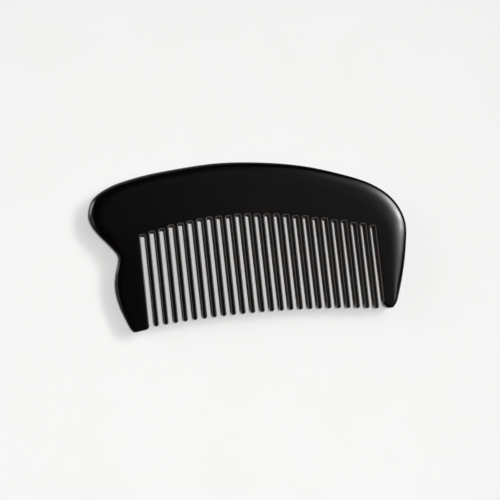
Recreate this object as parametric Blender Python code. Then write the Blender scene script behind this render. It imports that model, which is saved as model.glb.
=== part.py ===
"""Beard comb: one flat plate of polished black horn with a spine, two wide guards and 24 fine teeth.

The comb lies on its back face. +X runs along its length, +Y points from the teeth to the spine,
and +Z out of the front face. The origin is at the middle of the comb's length and height, on the
surface that it lies on.
"""

import math

import bmesh
import bpy
from mathutils import Vector

MM = 0.001

# Plate
THICKNESS = 6.0 * MM
TIP_THICKNESS = 3.4 * MM
GRIND_START_Y = 4.2 * MM    # below this line both faces slope towards the tips
GRIND_END_Y = -24.8 * MM    # the plate has its tip thickness from here on
OUTLINE_STEP = 1.6 * MM
EDGE_STEPS = 4              # facets from the rim to each face
SHARP_ANGLE = math.radians(35.0)

# Saw slots and teeth
TOOTH_COUNT = 24
PITCH = 3.18 * MM
SLOT_WIDTH = 1.55 * MM
TOOTH_WIDTH = PITCH - SLOT_WIDTH
TEETH_MIDDLE_X = 2.5 * MM
TOOTH_CHAMFER = 0.35 * MM
CHAMFER_SHARE = 0.6         # of half the tooth's width that the chamfer takes at most
TIP_ROUND = 0.7 * MM
TIP_STEPS = 3
TIP_SWEEP = math.radians(77.0)  # stops short of a quarter turn, which leaves a small flat on the tip
SLOT_CORNER = 0.35 * MM     # the saw leaves a flat slot end with small round corners
SLOT_CORNER_STEPS = 2

# The slots end on a bowed line: its height at the middle slot, then how far it tilts, bows and skews
# by the outermost slots
ROOT_HEIGHT = 8.25 * MM
ROOT_TILT = -3.25 * MM
ROOT_BOW = -5.4 * MM
ROOT_SKEW = 1.15 * MM

# The tips lie on a shallow arc
TIP_ARC_X = -6.0 * MM
TIP_ARC_TOP = -23.8 * MM
TIP_ARC_RADIUS = 365.0 * MM

# Where the guards are parted from the spine, and how their lower inner corners are rounded
SEAM_GAP = 0.3 * MM
LEFT_SEAM_DROP = 1.5 * SEAM_GAP   # the left seam slants, so its pieces part by less than they drop
NOTCH = (-44.2 * MM, -2.0 * MM)
LEFT_GUARD_BOTTOM = -25.4 * MM
LEFT_GUARD_CORNER = 0.8 * MM
RIGHT_GUARD_BOTTOM = -26.85 * MM
RIGHT_GUARD_CORNER = 1.5 * MM
GUARD_CORNER_STEPS = 4
BEYOND = 70.0 * MM          # further out than any edge of the comb

# Colour and roughness
POLISHED_HORN = ((0.010, 0.009, 0.009), 0.18)
SAWN_HORN = ((0.016, 0.011, 0.009), 0.30)

# Outline, clockwise from the grip's end: x, y and the width of the rounded edge there, in millimetres
OUTLINE = [
    # grip and spine
    (-52.5, 13.4, 3.5), (-50.7, 18.3, 3.5), (-45.15, 21.95, 4.0), (-35.0, 24.6, 4.5),
    (-22.0, 26.15, 5.0), (-8.0, 26.85, 5.5), (6.0, 25.8, 6.0), (19.2, 23.55, 6.0),
    (31.0, 20.05, 6.5), (42.3, 15.3, 7.0), (48.2, 10.6, 7.0), (51.15, 6.0, 6.0), (52.5, 0.7, 5.5),
    # right guard
    (51.5, -7.3, 4.5), (49.5, -15.6, 3.5), (47.25, -22.5, 2.0), (46.0, -25.3, 1.2),
    (44.4, -26.85, 1.0), (42.4, -26.65, 1.0),
    # left guard, finger notch and the underside of the grip
    (-37.0, -25.45, 1.0), (-39.0, -25.8, 1.0), (-41.4, -26.0, 0.7), (-42.3, -25.2, 0.8),
    (-43.8, -21.8, 1.3), (-45.5, -16.7, 2.0), (-46.2, -11.1, 2.5), (-45.6, -7.0, 2.5),
    (-44.6, -3.8, 2.5), (-44.2, -2.0, 2.5), (-44.6, -0.3, 2.5), (-46.7, 2.7, 3.0),
    (-50.1, 6.9, 3.0), (-51.9, 10.0, 3.3),
]


def root_y(x):
    """How high the slot over x reaches."""
    across = (x - TEETH_MIDDLE_X) / (0.5 * TOOTH_COUNT * PITCH)
    return ROOT_HEIGHT + ROOT_TILT * across + ROOT_BOW * across ** 2 + ROOT_SKEW * across ** 3


def tip_y(x):
    """How low the tooth over x reaches."""
    return TIP_ARC_TOP - TIP_ARC_RADIUS + math.sqrt(TIP_ARC_RADIUS ** 2 - (x - TIP_ARC_X) ** 2)


def half_thickness(y):
    """Half the plate's thickness at this height, full above the grind line."""
    ground = (GRIND_START_Y - y) / (GRIND_START_Y - GRIND_END_Y)
    ground = min(max(ground, 0.0), 1.0)
    return 0.5 * (THICKNESS + (TIP_THICKNESS - THICKNESS) * ground)


SLOTS_X = [TEETH_MIDDLE_X + (i - 0.5 * TOOTH_COUNT) * PITCH for i in range(TOOTH_COUNT + 1)]
LEFT_WALL = SLOTS_X[0] - 0.5 * SLOT_WIDTH
RIGHT_WALL = SLOTS_X[-1] + 0.5 * SLOT_WIDTH
LEFT_SEAM_Y = root_y(SLOTS_X[0]) - SLOT_CORNER
RIGHT_SEAM_Y = root_y(SLOTS_X[-1]) - SLOT_CORNER
# The left seam runs from the first slot through the finger notch, to as far again outside the plate
BEYOND_NOTCH = (2.0 * NOTCH[0] - LEFT_WALL, 2.0 * NOTCH[1] - LEFT_SEAM_Y)


def clear_scene():
    for leftover in list(bpy.data.objects):
        bpy.data.objects.remove(leftover, do_unlink=True)


def horn(name, colour, roughness):
    material = bpy.data.materials.new(name)
    material.use_nodes = True
    shader = material.node_tree.nodes["Principled BSDF"]
    shader.inputs["Base Color"].default_value = (*colour, 1.0)
    shader.inputs["Roughness"].default_value = roughness
    shader.inputs["Metallic"].default_value = 0.0
    return material


def add_object(name, mesh, parent, location=(0.0, 0.0, 0.0)):
    thing = bpy.data.objects.new(name, mesh)
    bpy.context.scene.collection.objects.link(thing)
    thing.location = location
    thing.parent = parent
    return thing


def mesh_from(bm, name):
    """Turn a closed bmesh into a smooth-shaded mesh whose real edges stay sharp."""
    bmesh.ops.recalc_face_normals(bm, faces=bm.faces[:])
    mesh = bpy.data.meshes.new(name)
    bm.to_mesh(mesh)
    bm.free()
    mesh.shade_smooth()
    mesh.set_sharp_from_angle(angle=SHARP_ANGLE)
    return mesh


def skin_rings(bm, rings):
    """Join neighbouring rings of points with faces, and close both ends."""
    for lower, upper in zip(rings, rings[1:]):
        for i in range(len(lower)):
            j = (i + 1) % len(lower)
            bm.faces.new((lower[i], lower[j], upper[j], upper[i]))
    bm.faces.new(rings[0])
    bm.faces.new(rings[-1])


def smooth_outline():
    """Points about OUTLINE_STEP apart on the closed curve through OUTLINE, each x, y, edge width."""
    anchors = [Vector(anchor) * MM for anchor in OUTLINE]
    count = len(anchors)
    curve = []
    for i in range(count):
        before, start, end, after = (anchors[(i + k) % count] for k in (-1, 0, 1, 2))
        # Knots spaced by the root of the chord keep the curve from overshooting at tight bends
        t1 = math.sqrt((start - before).length)
        t2 = t1 + math.sqrt((end - start).length)
        t3 = t2 + math.sqrt((after - end).length)
        steps = max(2, round((end - start).length / OUTLINE_STEP))
        for step in range(steps):
            t = t1 + (t2 - t1) * step / steps
            a1 = before.lerp(start, t / t1)
            a2 = start.lerp(end, (t - t1) / (t2 - t1))
            a3 = end.lerp(after, (t - t2) / (t3 - t2))
            b1 = a1.lerp(a2, t / t2)
            b2 = a2.lerp(a3, (t - t1) / (t3 - t1))
            curve.append(b1.lerp(b2, (t - t1) / (t2 - t1)))
    return curve


def plate_mesh(name):
    """The whole plate before sawing: elliptical rounded edges, both faces ground towards the tips."""
    curve = smooth_outline()
    count = len(curve)
    bm = bmesh.new()
    rings = []
    for step in range(-EDGE_STEPS, EDGE_STEPS + 1):
        angle = 0.5 * math.pi * step / EDGE_STEPS
        ring = []
        for i, point in enumerate(curve):
            along = (curve[(i + 1) % count] - curve[i - 1]).xy.normalized()
            inward = Vector((along.y, -along.x))
            spot = point.xy + inward * point.z * (1.0 - math.cos(angle))
            ring.append(bm.verts.new((spot.x, spot.y, 0.5 * THICKNESS * math.sin(angle))))
        rings.append(ring)
    skin_rings(bm, rings)
    whole = bm.verts[:] + bm.edges[:] + bm.faces[:]
    bmesh.ops.bisect_plane(bm, geom=whole, plane_co=(0, GRIND_START_Y, 0), plane_no=(0, 1, 0))
    for vert in bm.verts:
        vert.co.z *= half_thickness(vert.co.y) / (0.5 * THICKNESS)
    return mesh_from(bm, name)


def region(name, corners, parent):
    """A cutter: an upright prism right through the plate over the polygon of corners."""
    bm = bmesh.new()
    base = bm.faces.new([bm.verts.new((x, y, -THICKNESS)) for x, y in corners])
    extruded = bmesh.ops.extrude_face_region(bm, geom=[base])
    top = [item for item in extruded["geom"] if isinstance(item, bmesh.types.BMVert)]
    bmesh.ops.translate(bm, verts=top, vec=(0, 0, 2 * THICKNESS))
    cutter = add_object(name, mesh_from(bm, name), parent)
    cutter.hide_render = True
    cutter.display_type = "WIRE"
    return cutter


def cut_from_plate(name, corners, material, parent):
    """The stretch of the plate that lies over the polygon of corners."""
    piece = add_object(name, plate_mesh(name), parent)
    piece.data.materials.append(material)
    cut = piece.modifiers.new("region", "BOOLEAN")
    cut.operation = "INTERSECT"
    cut.solver = "EXACT"
    cut.object = region(name + "_region", corners, parent)


def corner_arc(centre, radius, start_degrees, end_degrees, steps):
    points = []
    for k in range(steps + 1):
        angle = math.radians(start_degrees + (end_degrees - start_degrees) * k / steps)
        points.append((centre[0] + radius * math.cos(angle), centre[1] + radius * math.sin(angle)))
    return points


def spine_corners():
    """Everything above the two seams and the teeth's roots, with the flat end of each slot."""
    corners = [BEYOND_NOTCH]
    reach = 0.5 * SLOT_WIDTH - SLOT_CORNER
    for x in SLOTS_X:
        corner_y = root_y(x) - SLOT_CORNER
        corners += corner_arc((x - reach, corner_y), SLOT_CORNER, 180, 90, SLOT_CORNER_STEPS)
        corners += corner_arc((x + reach, corner_y), SLOT_CORNER, 90, 0, SLOT_CORNER_STEPS)
    corners += [(BEYOND, RIGHT_SEAM_Y), (BEYOND, BEYOND), (-BEYOND, BEYOND)]
    return corners + [(-BEYOND, BEYOND_NOTCH[1])]


def left_guard_corners():
    """Everything left of the first slot, below the seam through the finger notch."""
    seam_end = (BEYOND_NOTCH[0], BEYOND_NOTCH[1] - LEFT_SEAM_DROP)
    inner_x = LEFT_WALL - LEFT_GUARD_CORNER
    outside = [seam_end, (-BEYOND, seam_end[1]), (-BEYOND, -BEYOND), (inner_x, -BEYOND)]
    centre = (inner_x, LEFT_GUARD_BOTTOM + LEFT_GUARD_CORNER)
    rounded = corner_arc(centre, LEFT_GUARD_CORNER, -90, 0, GUARD_CORNER_STEPS)
    return outside + rounded + [(LEFT_WALL, LEFT_SEAM_Y - LEFT_SEAM_DROP)]


def right_guard_corners():
    """Everything right of the last slot, below the spine."""
    inner_x = RIGHT_WALL + RIGHT_GUARD_CORNER
    centre = (inner_x, RIGHT_GUARD_BOTTOM + RIGHT_GUARD_CORNER)
    rounded = corner_arc(centre, RIGHT_GUARD_CORNER, 180, 270, GUARD_CORNER_STEPS)
    seam_y = RIGHT_SEAM_Y - SEAM_GAP
    return [(RIGHT_WALL, seam_y)] + rounded + [(inner_x, -BEYOND), (BEYOND, -BEYOND), (BEYOND, seam_y)]


def tooth_ring(bm, y, inset, local_y):
    """An eight-sided slice across a tooth at height y, drawn in by inset all round."""
    half_width = 0.5 * TOOTH_WIDTH - inset
    half_depth = half_thickness(y) - inset
    chamfer = min(TOOTH_CHAMFER, CHAMFER_SHARE * half_width)
    quarter = [(half_width, half_depth - chamfer), (half_width - chamfer, half_depth)]
    corners = quarter + [(-x, z) for x, z in reversed(quarter)]
    corners += [(-x, -z) for x, z in quarter] + [(x, -z) for x, z in reversed(quarter)]
    return [bm.verts.new((x, local_y, z)) for x, z in corners]


def tooth_mesh(name, top, tip):
    """A tooth from y = top down to y = tip, modelled from the middle of its root."""
    slices = [(top, 0.0)]
    if top > GRIND_START_Y:
        slices.append((GRIND_START_Y, 0.0))
    for k in range(TIP_STEPS + 1):
        angle = TIP_SWEEP * k / TIP_STEPS
        lift = TIP_ROUND * (math.sin(TIP_SWEEP) - math.sin(angle))
        slices.append((tip + lift, TIP_ROUND * (1.0 - math.cos(angle))))
    bm = bmesh.new()
    skin_rings(bm, [tooth_ring(bm, y, inset, y - top) for y, inset in slices])
    return mesh_from(bm, name)


def build_spine_and_guards(comb):
    cut_from_plate("spine", spine_corners(), horn("spine_horn", *POLISHED_HORN), comb)
    guard_horn = horn("guard_horn", *POLISHED_HORN)
    cut_from_plate("left_guard", left_guard_corners(), guard_horn, comb)
    cut_from_plate("right_guard", right_guard_corners(), guard_horn, comb)


def build_teeth(comb):
    """One tooth between each slot and the next, its root just clear of the spine."""
    tooth_horn = horn("tooth_horn", *SAWN_HORN)
    for i, (left, right) in enumerate(zip(SLOTS_X, SLOTS_X[1:])):
        name = f"tooth_{i + 1:02d}"
        x = 0.5 * (left + right)
        top = min(root_y(left), root_y(right)) - SLOT_CORNER - SEAM_GAP
        tooth = add_object(name, tooth_mesh(name, top, tip_y(x)), comb, (x, top, 0.0))
        tooth.data.materials.append(tooth_horn)


def build():
    clear_scene()
    comb = bpy.data.objects.new("comb", None)
    bpy.context.scene.collection.objects.link(comb)
    comb.location.z = 0.5 * THICKNESS
    build_spine_and_guards(comb)
    build_teeth(comb)


build()
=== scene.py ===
"""Looks of the beard comb: one seamless comb of polished black horn, on a pale floor under soft lights."""
import math
import random
from collections import namedtuple

import bmesh
import bpy
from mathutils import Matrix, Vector, geometry, noise


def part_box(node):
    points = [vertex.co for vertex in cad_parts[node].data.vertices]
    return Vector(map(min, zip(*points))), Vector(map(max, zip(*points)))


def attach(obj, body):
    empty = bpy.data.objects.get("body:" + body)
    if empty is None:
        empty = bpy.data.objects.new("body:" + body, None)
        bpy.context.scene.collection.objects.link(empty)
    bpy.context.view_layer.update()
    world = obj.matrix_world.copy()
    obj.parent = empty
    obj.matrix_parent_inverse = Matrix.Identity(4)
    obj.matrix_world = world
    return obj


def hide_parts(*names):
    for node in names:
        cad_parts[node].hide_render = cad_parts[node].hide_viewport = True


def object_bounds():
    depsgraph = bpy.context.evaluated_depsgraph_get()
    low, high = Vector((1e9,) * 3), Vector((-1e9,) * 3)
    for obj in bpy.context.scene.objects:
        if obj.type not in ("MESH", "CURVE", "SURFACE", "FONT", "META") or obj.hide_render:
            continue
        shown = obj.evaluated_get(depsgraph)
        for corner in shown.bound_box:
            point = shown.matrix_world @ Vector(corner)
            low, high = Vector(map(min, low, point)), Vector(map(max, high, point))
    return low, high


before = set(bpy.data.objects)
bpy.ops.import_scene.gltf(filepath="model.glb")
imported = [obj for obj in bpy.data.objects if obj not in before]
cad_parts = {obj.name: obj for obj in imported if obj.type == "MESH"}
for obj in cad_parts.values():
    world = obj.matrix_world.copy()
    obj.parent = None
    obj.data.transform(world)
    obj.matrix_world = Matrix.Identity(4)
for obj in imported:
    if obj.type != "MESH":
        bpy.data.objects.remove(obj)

CAD_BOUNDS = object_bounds()
MM = 0.001
rng = random.Random(24)

# ---------------------------------------------------------------- the comb's dimensions
THICKNESS = CAD_BOUNDS[1].z - CAD_BOUNDS[0].z
TIP_THICKNESS = 3.4 * MM
GRIND_START_Y = 4.2 * MM
GRIND_END_Y = -24.8 * MM
GRIND_BLEND = 4.0 * MM          # the polished faces roll softly into the ground slope
ROOT_HEIGHT = 8.25 * MM         # the slots end on a bowed line: its middle, tilt, bow and skew
ROOT_TILT = -3.25 * MM
ROOT_BOW = -5.4 * MM
ROOT_SKEW = 1.15 * MM
SLOT_CORNER = 0.35 * MM

TEETH = [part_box(name) for name in sorted(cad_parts) if name.startswith("tooth_")]
TOOTH_WIDTH = TEETH[0][1].x - TEETH[0][0].x
SLOT_WIDTH = TEETH[1][0].x - TEETH[0][1].x
LEFT_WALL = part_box("left_guard")[1].x
RIGHT_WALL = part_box("right_guard")[0].x
WALLS = [LEFT_WALL] + [corner.x for box in TEETH for corner in box] + [RIGHT_WALL]

# Outline, clockwise from the left guard's inner corner: x, y and edge width in millimetres
OUTLINE = [
    (-36.43, -24.3, 0.45), (-36.55, -25.0, 0.6), (-37.2, -25.5, 0.8), (-39.0, -25.8, 0.9),
    (-41.4, -26.0, 0.7), (-42.3, -25.2, 0.8), (-43.8, -21.8, 1.3), (-45.5, -16.7, 2.0),
    (-46.2, -11.1, 2.4), (-45.6, -7.0, 2.2), (-44.6, -3.8, 1.8), (-44.2, -2.0, 1.6),
    (-44.6, -0.3, 1.8), (-46.7, 2.7, 2.4), (-50.1, 6.9, 3.0), (-51.9, 10.0, 3.4),
    (-52.5, 13.4, 4.0), (-50.7, 18.3, 4.0), (-45.15, 21.95, 4.0), (-35.0, 24.6, 4.2),
    (-22.0, 26.15, 4.5), (-8.0, 26.85, 4.8), (6.0, 25.8, 5.2), (19.2, 23.55, 5.8),
    (31.0, 20.05, 6.5), (42.3, 15.3, 7.5), (48.2, 10.6, 8.0), (51.15, 6.0, 7.8), (52.5, 0.7, 7.0),
    (51.5, -7.3, 5.5), (49.5, -15.6, 4.0), (47.25, -22.5, 2.2), (46.0, -25.3, 1.3),
    (44.4, -26.85, 1.0), (42.5, -26.6, 0.9), (41.6, -25.6, 0.7), (41.43, -24.4, 0.45),
]
OUTLINE_STEP = 0.6 * MM
WALL_STEP = 1.2 * MM
WALL_CROWDING = 1.3             # above 1, the points up a wall crowd towards the tip
TIP_STEPS = 8                   # facets round each tip
CORNER_STEPS = 4
WALL_EDGE = (0.42 * MM, 0.42 * MM)      # width and depth of the filed edge along a slot
TIP_EDGE = (0.52 * MM, 0.95 * MM)
TIP_LENGTH = 2.2 * MM           # over which the filed edge turns into the round tip
TIP_POLISH = 0.9                # how far the tips' saw marks are polished away
SOFT_RINGS = 10                 # facets across the soft rounding, and across the tight one at the rim
TIGHT_RINGS = 3
SOFT_SLOPE = 0.4                # depth of the outer edge's soft rounding over its width
SOFT_SHARE = 0.55               # of half the thickness that the soft rounding takes at most
TIGHT_RADIUS = 0.6 * MM
RIM_BAND = 0.05 * MM            # least height of the upright band on each side of the rim
WELD = 0.0001 * MM              # points closer than this are one point
FACE_STEP = 1.5 * MM            # across the net over each face, whose rows are staggered
ROW_STEP = 0.866 * FACE_STEP    # makes the net's triangles even-sided
NET_CLEARANCE = 0.45 * FACE_STEP    # the net's own points keep this far from its edge
NET_TOLERANCE = 1e-9
NET_INSIDE_ONLY = 1             # the triangulation's mode that drops what lies outside the edge
LEAST_COSINE = 0.01             # keeps a division safe where the soft rounding turns a quarter
SAW_JITTER = 0.18 * MM          # the saw stopped a little higher or lower in each slot
WAVE = 0.012 * MM               # hand polishing leaves the faces very slightly wavy
WAVE_LENGTH = 16.0 * MM
WAVE_SQUASH = 1.6               # the waves are this much shorter across the comb than along it

Rim = namedtuple("Rim", "x y width depth sawn")


def half_thickness(x, y):
    """Half the comb's thickness over a point: ground towards the tips, and very slightly wavy.

    The waves only take away, so the comb is never thicker than the frame.
    """
    down = GRIND_START_Y - y
    if down < -GRIND_BLEND:
        ground = 0.0
    elif down < GRIND_BLEND:
        ground = (down + GRIND_BLEND) ** 2 / (4.0 * GRIND_BLEND)
    else:
        ground = down
    share = min(ground / (GRIND_START_Y - GRIND_END_Y), 1.0)
    wave = WAVE * (noise.noise(Vector((x, WAVE_SQUASH * y, 0.0)) / WAVE_LENGTH) - 1.0)
    return 0.5 * (THICKNESS + (TIP_THICKNESS - THICKNESS) * share) + wave


def spline(anchors, step):
    """A centripetal curve through the anchors (Vectors), with points about step apart."""
    points = [2 * anchors[0] - anchors[1]] + anchors + [2 * anchors[-1] - anchors[-2]]
    curve = []
    for before, start, end, after in zip(points, points[1:], points[2:], points[3:]):
        t1 = math.sqrt((start - before).length)
        t2 = t1 + math.sqrt((end - start).length)
        t3 = t2 + math.sqrt((after - end).length)
        count = max(2, round((end - start).length / step))
        for k in range(count):
            t = t1 + (t2 - t1) * k / count
            a1 = before.lerp(start, t / t1)
            a2 = start.lerp(end, (t - t1) / (t2 - t1))
            a3 = end.lerp(after, (t - t2) / (t3 - t2))
            b1 = a1.lerp(a2, t / t2)
            b2 = a2.lerp(a3, (t - t1) / (t3 - t1))
            curve.append(b1.lerp(b2, (t - t1) / (t2 - t1)))
    return curve + [anchors[-1]]


def outline_rim():
    """The polished outer edge, kept inside the frame's box."""
    low, high = CAD_BOUNDS
    path = []
    for point in spline([Vector(anchor) * MM for anchor in OUTLINE], OUTLINE_STEP):
        x = min(max(point.x, low.x), high.x)
        y = min(max(point.y, low.y), high.y)
        path.append(Rim(x, y, point.z, SOFT_SLOPE * point.z, 0.0))
    return path


def between(a, b, share):
    """From a to b as share goes from 0 to 1."""
    return a + (b - a) * share


def tip_share(y, tip):
    """0 along a tooth, rising smoothly to 1 at its tip."""
    t = min(max(1.0 - (y - tip) / TIP_LENGTH, 0.0), 1.0)
    return t * t * (3.0 - 2.0 * t)


def tooth_edge(x, y, tip):
    """The filed edge beside a slot, which turns into the polished tip."""
    share = tip_share(y, tip)
    width = between(WALL_EDGE[0], TIP_EDGE[0], share)
    depth = between(WALL_EDGE[1], TIP_EDGE[1], share)
    return Rim(x, y, width, depth, 1.0 - TIP_POLISH * share)


def wall_heights(low, high):
    """Points up a slot's wall, closer together near the tip."""
    count = round((high - low) / WALL_STEP)
    return [low + (high - low) * (k / count) ** WALL_CROWDING for k in range(count + 1)]


def root_y(x):
    """How high the slot over x reaches."""
    across = (2.0 * x - LEFT_WALL - RIGHT_WALL) / (RIGHT_WALL - LEFT_WALL - SLOT_WIDTH)
    return ROOT_HEIGHT + ROOT_TILT * across + ROOT_BOW * across ** 2 + ROOT_SKEW * across ** 3


def slot_end(left, right, top):
    """The saw's flat end with its small round corners, from the right wall to the left one."""
    path = []
    for centre_x, start in ((right - SLOT_CORNER, 0.0), (left + SLOT_CORNER, 0.5 * math.pi)):
        for k in range(CORNER_STEPS + 1):
            angle = start + 0.5 * math.pi * k / CORNER_STEPS
            x = centre_x + SLOT_CORNER * math.cos(angle)
            y = top - SLOT_CORNER + SLOT_CORNER * math.sin(angle)
            path.append(Rim(x, y, *WALL_EDGE, 1.0))
    return path


def tooth_tip(middle, tip):
    """Round the tip from the tooth's right side to its left one."""
    path = []
    radius = 0.5 * TOOTH_WIDTH
    for k in range(1, TIP_STEPS):
        angle = math.pi * k / TIP_STEPS
        x = middle + radius * math.cos(angle)
        y = tip + radius - radius * math.sin(angle)
        path.append(tooth_edge(x, y, tip))
    return path


def slots_rim():
    """The sawn edge from the right guard to the left one: up and down each slot, and round each tip."""
    path = []
    guard_tips = (OUTLINE[0][1] * MM, OUTLINE[-1][1] * MM)
    for i in reversed(range(len(TEETH) + 1)):
        left, right = WALLS[2 * i], WALLS[2 * i + 1]
        top = root_y(0.5 * (left + right)) + rng.uniform(-SAW_JITTER, SAW_JITTER)
        shoulder = top - SLOT_CORNER
        if i == len(TEETH):
            up = wall_heights(guard_tips[1], shoulder)[1:-1]
            path += [Rim(right, y, *WALL_EDGE, 1.0) for y in up]
        else:
            tip = TEETH[i][0].y
            up = wall_heights(tip + 0.5 * TOOTH_WIDTH, shoulder)[:-1]
            path += [tooth_edge(right, y, tip) for y in up]
        path += slot_end(left, right, top)
        if i == 0:
            down = reversed(wall_heights(guard_tips[0], shoulder)[1:-1])
            path += [Rim(left, y, *WALL_EDGE, 1.0) for y in down]
        else:
            tip = TEETH[i - 1][0].y
            down = reversed(wall_heights(tip + 0.5 * TOOTH_WIDTH, shoulder)[:-1])
            path += [tooth_edge(left, y, tip) for y in down]
            path += tooth_tip(left - 0.5 * TOOTH_WIDTH, tip)
    return path


def edge_profile(point, half, step):
    """The surface's tilt, inset and drop at one step from the rim to the face.

    A tight radius at the rim turns into a soft arc, which meets the face. Where the edge is as deep
    as it is wide, the soft arc is a quarter circle and no tight radius is left.
    """
    depth = min(point.depth, point.width, SOFT_SHARE * half)
    turn = 2.0 * math.atan(depth / point.width)
    tight = min(TIGHT_RADIUS, (half - depth - RIM_BAND) / max(math.cos(turn), LEAST_COSINE))
    if step < TIGHT_RINGS:
        tilt = 0.5 * math.pi + (turn - 0.5 * math.pi) * step / TIGHT_RINGS
        return tilt, tight * (1.0 - math.sin(tilt)), depth + tight * (math.cos(turn) - math.cos(tilt))
    tilt = turn * (1.0 - (step - TIGHT_RINGS) / SOFT_RINGS)
    radius = point.width / math.sin(turn)
    inset = tight * (1.0 - math.sin(turn)) + point.width - radius * math.sin(tilt)
    return tilt, inset, radius * (1.0 - math.cos(tilt))


def inward(rim, i):
    """The direction from a point of the rim into the comb, square to its neighbours."""
    here = Vector(rim[i][:2])
    ahead = (Vector(rim[(i + 1) % len(rim)][:2]) - here).normalized()
    behind = (here - Vector(rim[i - 1][:2])).normalized()
    along = (ahead + behind).normalized()
    return Vector((along.y, -along.x))


def face_points(edge):
    """A staggered grid of points inside the closed edge, clear of it."""
    columns = int((CAD_BOUNDS[1].x - CAD_BOUNDS[0].x) / FACE_STEP)
    rows = int((CAD_BOUNDS[1].y - CAD_BOUNDS[0].y) / ROW_STEP)
    points = []
    for row in range(rows + 1):
        y = CAD_BOUNDS[0].y + row * ROW_STEP
        crossings = []
        for a, b in zip(edge, edge[1:] + edge[:1]):
            if (a.y > y) != (b.y > y):
                crossings.append(a.x + (b.x - a.x) * (y - a.y) / (b.y - a.y))
        crossings.sort()
        near = [p for p in edge if abs(p.y - y) < NET_CLEARANCE]
        for column in range(columns + 1):
            x = CAD_BOUNDS[0].x + (column + 0.5 * (row % 2)) * FACE_STEP
            inside = sum(c < x for c in crossings) % 2 == 1
            clear = all(abs(c - x) > NET_CLEARANCE for c in crossings)
            spot = Vector((x, y))
            if inside and clear and all((p - spot).length > NET_CLEARANCE for p in near):
                points.append(spot)
    return points


def comb_mesh():
    """The whole comb as one closed skin: rings from the rim inwards, and a fine net over each face."""
    rim = outline_rim() + slots_rim()
    count = len(rim)
    normals = [inward(rim, i) for i in range(count)]
    middle = 0.5 * THICKNESS
    bm = bmesh.new()
    sawn = bm.verts.layers.float.new("sawn")

    def add_vert(x, y, z, share):
        vert = bm.verts.new((x, y, z))
        vert[sawn] = share
        return vert

    def ring(step, side):
        verts = []
        for point, normal in zip(rim, normals):
            tilt, inset, drop = edge_profile(point, half_thickness(point.x, point.y), step)
            x = point.x + normal.x * inset
            y = point.y + normal.y * inset
            z = half_thickness(x, y) - drop
            verts.append(add_vert(x, y, middle + side * z, point.sawn * math.sin(tilt)))
        return verts

    rim_ring = [add_vert(p.x, p.y, middle, p.sawn) for p in rim]
    net = None
    for side in (1, -1):
        last = rim_ring
        for step in range(TIGHT_RINGS + SOFT_RINGS + 1):
            new = ring(step, side)
            for i in range(count):
                j = (i + 1) % count
                corners = (last[i], last[j], new[j], new[i])
                bm.faces.new(corners if side == 1 else corners[::-1])
            last = new
        edge = [vert.co.xy.copy() for vert in last]
        if net is None:
            inner = face_points(edge)
            loop = [(i, (i + 1) % count) for i in range(count)]
            net = geometry.delaunay_2d_cdt(edge + inner, loop, [], NET_INSIDE_ONLY, NET_TOLERANCE)
        coords, _, triangles, origins, _, _ = net
        verts = []
        for co, origin in zip(coords, origins):
            if origin and origin[0] < count:
                verts.append(last[origin[0]])
            else:
                verts.append(add_vert(co.x, co.y, middle + side * half_thickness(co.x, co.y), 0.0))
        for a, b, c in triangles:
            corners = (verts[a], verts[b], verts[c])
            bm.faces.new(corners if side == 1 else corners[::-1])
    # Where no tight radius is left, its rings lie on each other
    bmesh.ops.remove_doubles(bm, verts=bm.verts[:], dist=WELD)
    bmesh.ops.recalc_face_normals(bm, faces=bm.faces[:])
    mesh = bpy.data.meshes.new("comb")
    bm.to_mesh(mesh)
    bm.free()
    mesh.shade_smooth()
    return mesh


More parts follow.
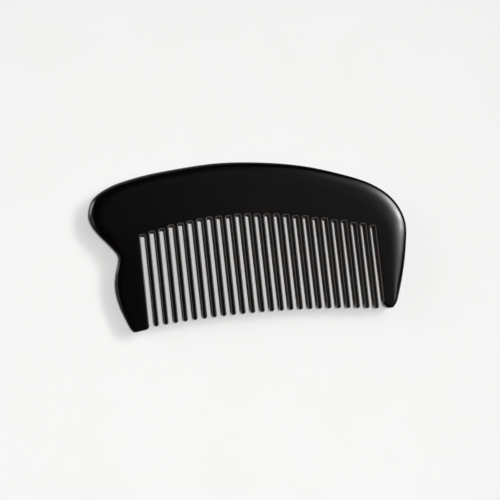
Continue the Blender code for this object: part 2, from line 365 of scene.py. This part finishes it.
# ---------------------------------------------------------------- materials
class Graph:
    """The nodes of a material or a world, made and linked with short calls."""

    def __init__(self, owner, shader):
        owner.use_nodes = True
        self.nodes = owner.node_tree.nodes
        self.links = owner.node_tree.links
        self.shader = self.nodes[shader]

    def put(self, socket, value):
        """Link a socket to an output, or set it to a plain value."""
        if isinstance(value, bpy.types.NodeSocket):
            self.links.new(value, socket)
        else:
            socket.default_value = value

    def node(self, kind, inputs=(), output=0, **settings):
        """Add a node with these inputs and settings, and return one of its outputs."""
        node = self.nodes.new("ShaderNode" + kind)
        for name, value in settings.items():
            setattr(node, name, value)
        for name, value in dict(inputs).items():
            self.put(node.inputs[name], value)
        return node.outputs[output]

    def place(self, scale, turn=0.0):
        """Object coordinates in metres, turned about +Z by so many degrees and then stretched."""
        spot = self.node("TexCoord", output="Object")
        turned = self.node("Mapping", {"Vector": spot, "Rotation": (0.0, 0.0, math.radians(turn))})
        return self.node("Mapping", {"Vector": turned, "Scale": scale})

    def noise(self, scale, turn=0.0, detail=2.0, roughness=0.5, distortion=0.0):
        """Noise with so many waves to the metre along each axis."""
        spot = self.place(scale, turn)
        details = {"Scale": 1.0, "Detail": detail, "Roughness": roughness, "Distortion": distortion}
        return self.node("TexNoise", {"Vector": spot, **details})

    def steps(self, value, low, high, to_low=0.0, to_high=1.0):
        """Stretch a value from low..high to to_low..to_high, and no further."""
        ends = {"From Min": low, "From Max": high, "To Min": to_low, "To Max": to_high}
        return self.node("MapRange", {"Value": value, **ends})

    def mix(self, share, a, b):
        """From colour a to colour b as share goes from 0 to 1."""
        node = self.nodes.new("ShaderNodeMix")
        node.data_type = "RGBA"
        self.put(node.inputs[0], share)
        self.put(node.inputs[6], a)
        self.put(node.inputs[7], b)
        return node.outputs[2]

    def maths(self, operation, a, b):
        """The result of a maths node, whose inputs are outputs or plain numbers."""
        node = self.nodes.new("ShaderNodeMath")
        node.operation = operation
        self.put(node.inputs[0], a)
        self.put(node.inputs[1], b)
        return node.outputs[0]

    def blend(self, share, a, b):
        """From a to b as share goes from 0 to 1, for plain numbers."""
        node = self.nodes.new("ShaderNodeMix")
        node.data_type = "FLOAT"
        self.put(node.inputs[0], share)
        self.put(node.inputs[2], a)
        self.put(node.inputs[3], b)
        return node.outputs[0]

    def bump(self, height, distance, strength, under=None):
        """Bumps by a height map, on top of the bumps under them."""
        inputs = {"Height": height, "Distance": distance, "Strength": strength}
        if under is not None:
            inputs["Normal"] = under
        return self.node("Bump", inputs)


# The horn's colours: jet black with brown growth streaks where it is polished, bare brown flecks on the
# sawn walls that double as painted brown glints, and a painted grey highlight line along the filed edges
# between the two
JET_BLACK = (0.0012, 0.0012, 0.0013, 1.0)
STREAK_BROWN = (0.0050, 0.0028, 0.0016, 1.0)
SAWN_DARK = (0.005, 0.002, 0.001, 1.0)
SAWN_FLECK_AND_PAINTED_GLINT = (0.130, 0.050, 0.012, 1.0)
PAINTED_EDGE_HIGHLIGHT_GREY = (0.072, 0.064, 0.059, 1.0)
HAIRLINE_TURNS = (8.0, -21.0, 63.0)     # degrees


def horn_material():
    """Black horn: brown growth streaks under a hand polish, bare saw marks inside the slots with painted
    brown glints, and a painted grey highlight along the filed edges.
    """
    material = bpy.data.materials.new("polished_black_horn")
    horn = Graph(material, "Principled BSDF")
    sawn = horn.node("Attribute", output="Fac", attribute_type="GEOMETRY", attribute_name="sawn")

    # Growth lines run along the horn, so along the comb
    streaks = horn.noise((22.0, 240.0, 300.0), turn=4.0, detail=4.0, roughness=0.6, distortion=0.6)
    clouds = horn.noise((45.0, 60.0, 60.0), detail=2.0)
    brown = horn.maths("MULTIPLY", horn.steps(streaks, 0.5, 0.75), horn.steps(clouds, 0.4, 0.7))
    polished_colour = horn.mix(brown, JET_BLACK, STREAK_BROWN)
    # Bare brown flecks of sawn horn, which also serve as painted brown glints on the slot walls
    grain_and_glint_pattern = horn.noise((900.0, 160.0, 900.0), detail=3.0, roughness=0.7)
    sawn_colour_and_painted_glints = horn.mix(horn.steps(grain_and_glint_pattern, 0.45, 0.75), SAWN_DARK, SAWN_FLECK_AND_PAINTED_GLINT)
    # Halfway from polished to sawn the product is a quarter, so four times it is 1
    halfway = horn.maths("MULTIPLY", sawn, horn.maths("SUBTRACT", 1.0, sawn))
    # A painted grey highlight line along the filed edges, halfway between polished and sawn
    colour_with_painted_edge_highlight = horn.mix(horn.maths("MULTIPLY", halfway, 4.0), polished_colour, PAINTED_EDGE_HIGHLIGHT_GREY)
    colour = horn.mix(horn.steps(sawn, 0.8, 1.0), colour_with_painted_edge_highlight, sawn_colour_and_painted_glints)
    horn.put(horn.shader.inputs["Base Color"], colour)

    # Hairlines left by the polishing cloth, in three directions
    hairlines = None
    for turn in HAIRLINE_TURNS:
        line = horn.steps(horn.noise((18.0, 2600.0, 2600.0), turn=turn, detail=1.0), 0.68, 0.78)
        hairlines = line if hairlines is None else horn.maths("MAXIMUM", hairlines, line)
    haze = horn.noise((70.0, 110.0, 110.0), detail=3.0, roughness=0.6)
    polish = horn.steps(haze, 0.3, 0.75, 0.07, 0.12)
    polished_roughness = horn.maths("ADD", polish, horn.maths("MULTIPLY", hairlines, 0.03))
    sawn_roughness = horn.steps(grain_and_glint_pattern, 0.3, 0.7, 0.68, 0.85)
    roughness = horn.blend(horn.steps(sawn, 0.15, 0.95), polished_roughness, sawn_roughness)
    horn.put(horn.shader.inputs["Roughness"], roughness)
    horn.shader.inputs["IOR"].default_value = 1.54

    # The saw's marks cross each wall; the polish leaves the faces slightly uneven
    waves = {"Vector": horn.place((1.0, 1.0, 1.0)), "Scale": 900.0, "Distortion": 6.0,
             "Detail": 2.0, "Detail Scale": 1.5}
    marks = horn.node("TexWave", waves, wave_type="BANDS", bands_direction="Y")
    unevenness = horn.noise((260.0, 260.0, 260.0), detail=2.0)
    bumps = horn.bump(unevenness, 0.004 * MM, 0.5)
    bumps = horn.bump(hairlines, -0.0003 * MM, 0.3, under=bumps)
    bumps = horn.bump(horn.maths("MULTIPLY", marks, sawn), 0.03 * MM, 0.7, under=bumps)
    horn.put(horn.shader.inputs["Normal"], bumps)
    return material


def floor_material():
    """A pale matt tabletop, very faintly mottled."""
    material = bpy.data.materials.new("pale_floor")
    floor = Graph(material, "Principled BSDF")
    mottle = floor.noise((30.0, 30.0, 30.0), detail=2.0)
    colour = floor.mix(mottle, (0.87, 0.86, 0.85, 1.0), (0.90, 0.895, 0.89, 1.0))
    floor.put(floor.shader.inputs["Base Color"], colour)
    floor.shader.inputs["Roughness"].default_value = 0.6
    return material


# ---------------------------------------------------------------- stage
FLOOR_REACH = 3.0               # metres from the middle to each side
FLOOR_DROP = 0.02 * MM          # keeps the floor just clear of the comb's back


def add_object(name, data):
    thing = bpy.data.objects.new(name, data)
    bpy.context.scene.collection.objects.link(thing)
    return thing


def make_floor():
    """The plain tabletop that the comb lies on."""
    corners = [(x * FLOOR_REACH, y * FLOOR_REACH, 0.0) for x, y in ((-1, -1), (1, -1), (1, 1), (-1, 1))]
    mesh = bpy.data.meshes.new("floor")
    mesh.from_pydata(corners, [], [(0, 1, 2, 3)])
    floor = add_object("floor", mesh)
    floor.location.z = -FLOOR_DROP
    mesh.materials.append(floor_material())


def aim(thing, target):
    """Turn a light so that it shines at the target."""
    thing.rotation_euler = (Vector(target) - thing.location).to_track_quat("-Z", "Y").to_euler()


def softbox(name, azimuth, elevation, distance, size, radiance):
    """A light that the polish doesn't mirror, towards this azimuth and elevation in degrees.

    Its distance and size are in metres.
    """
    data = bpy.data.lights.new(name, "AREA")
    data.shape = "RECTANGLE"
    data.size, data.size_y = size
    data.energy = radiance * math.pi * size[0] * size[1]
    light = add_object(name, data)
    around = math.radians(azimuth)
    up = math.radians(elevation)
    level = distance * math.cos(up)
    light.location = (level * math.cos(around), level * math.sin(around), distance * math.sin(up))
    aim(light, (0.0, 0.0, 0.0))
    light.visible_camera = False
    light.visible_glossy = False


# Brightness of the surroundings against the height (the sine of the elevation): pale low walls,
# and darkness above them
WORLD_STOPS = [(0.0, 0.5), (0.1, 0.5), (0.3, 0.0), (1.0, 0.0)]

# Soft lights in the surroundings, which the polish mirrors. In degrees: azimuth (0 is +X, 90 is +Y) and
# elevation of the middle, and the spread across and up at which the light has fallen to 37%. Then how
# sharp its border is (1 is a glow, 8 a panel), and the brightness of its middle.
WINDOW_LIGHTS = [
    (36, 35, 5.5, 3.0, 1, 10.5),    # a tall window to the right, in three overlapping glows
    (20, 35.5, 6, 3.5, 1, 25.0),
    (6, 38, 3.6, 5.5, 1, 9.5),
    (8, 50, 14, 11, 1, 0.75),       # the haze round the window
    (35, 57.6, 30, 25, 8, 0.11),    # the faintly lit ceiling on that side
]
SIDE_LIGHTS = [
    (150, 14, 15, 9, 4, 5.0),       # a small panel beyond the lobe
    (180, 25, 14, 9, 2, 0.9),       # a faint glow beside it
]
WINDOW_SILL = (25.0, 32.0)          # the window's light sets in between these elevations


def soft_light(world, direction, azimuth, elevation, across, up, border, brightness):
    """Light that falls away smoothly round the middle of a window or panel."""
    around, above = math.radians(azimuth), math.radians(elevation)
    level = math.cos(above)
    middle = (level * math.cos(around), level * math.sin(around), math.sin(above))
    spread = (1.0, math.radians(across), math.radians(up))
    place = {"Vector": direction, "Location": middle, "Rotation": (0.0, -above, around), "Scale": spread}
    offset = world.node("Mapping", place, vector_type="TEXTURE")
    length = world.node("VectorMath", {"Vector": offset}, output="Value", operation="LENGTH")
    falling = world.maths("POWER", length, border)
    glow = world.maths("POWER", 1.0 / math.e, falling)
    return world.maths("MULTIPLY", glow, brightness)


def light_sum(world, direction, lights):
    """The brightness of several soft lights together."""
    total = 0.0
    for light in lights:
        total = world.maths("ADD", total, soft_light(world, direction, *light))
    return total


def make_world():
    """Surroundings that the polish mirrors."""
    studio = bpy.data.worlds.new("studio")
    world = Graph(studio, "Background")
    direction = world.node("TexCoord", output="Generated")
    height = world.node("SeparateXYZ", {"Vector": direction}, output="Z")

    ramp = world.nodes.new("ShaderNodeValToRGB")
    ramp.color_ramp.interpolation = "EASE"
    stops = ramp.color_ramp.elements
    stops.remove(stops[1])
    for place, grey in WORLD_STOPS:
        stop = stops.new(place)
        stop.color = (grey, grey, grey, 1.0)
    stops.remove(stops[0])
    world.put(ramp.inputs["Fac"], height)

    low, high = (math.sin(math.radians(elevation)) for elevation in WINDOW_SILL)
    rise = {"Value": height, "From Min": low, "From Max": high}
    sill = world.node("MapRange", rise, interpolation_type="SMOOTHSTEP")
    window = world.maths("MULTIPLY", light_sum(world, direction, WINDOW_LIGHTS), sill)
    lights = world.maths("ADD", window, light_sum(world, direction, SIDE_LIGHTS))
    total = world.maths("ADD", lights, ramp.outputs["Color"])
    world.put(world.shader.inputs["Color"], total)
    bpy.context.scene.world = studio


def make_camera():
    """The camera looks almost straight down, from over the comb's left end, just in front of the teeth."""
    data = bpy.data.cameras.new("camera")
    data.lens = 90.0
    data.sensor_width = 36.0
    data.clip_start = 0.01
    camera = add_object("camera", data)
    camera.location = (-0.0548, -0.0473, 0.4100)
    camera.rotation_euler = (math.radians(6.98), math.radians(-6.82), math.radians(-6.45))
    bpy.context.scene.camera = camera


comb = add_object("comb", comb_mesh())
comb.data.materials.append(horn_material())
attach(comb, "root")
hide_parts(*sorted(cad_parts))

make_floor()
softbox("overhead", azimuth=249, elevation=83, distance=0.7, size=(0.06, 0.06), radiance=280.0)
make_world()
bpy.context.scene.view_settings.view_transform = "Standard"
make_camera()
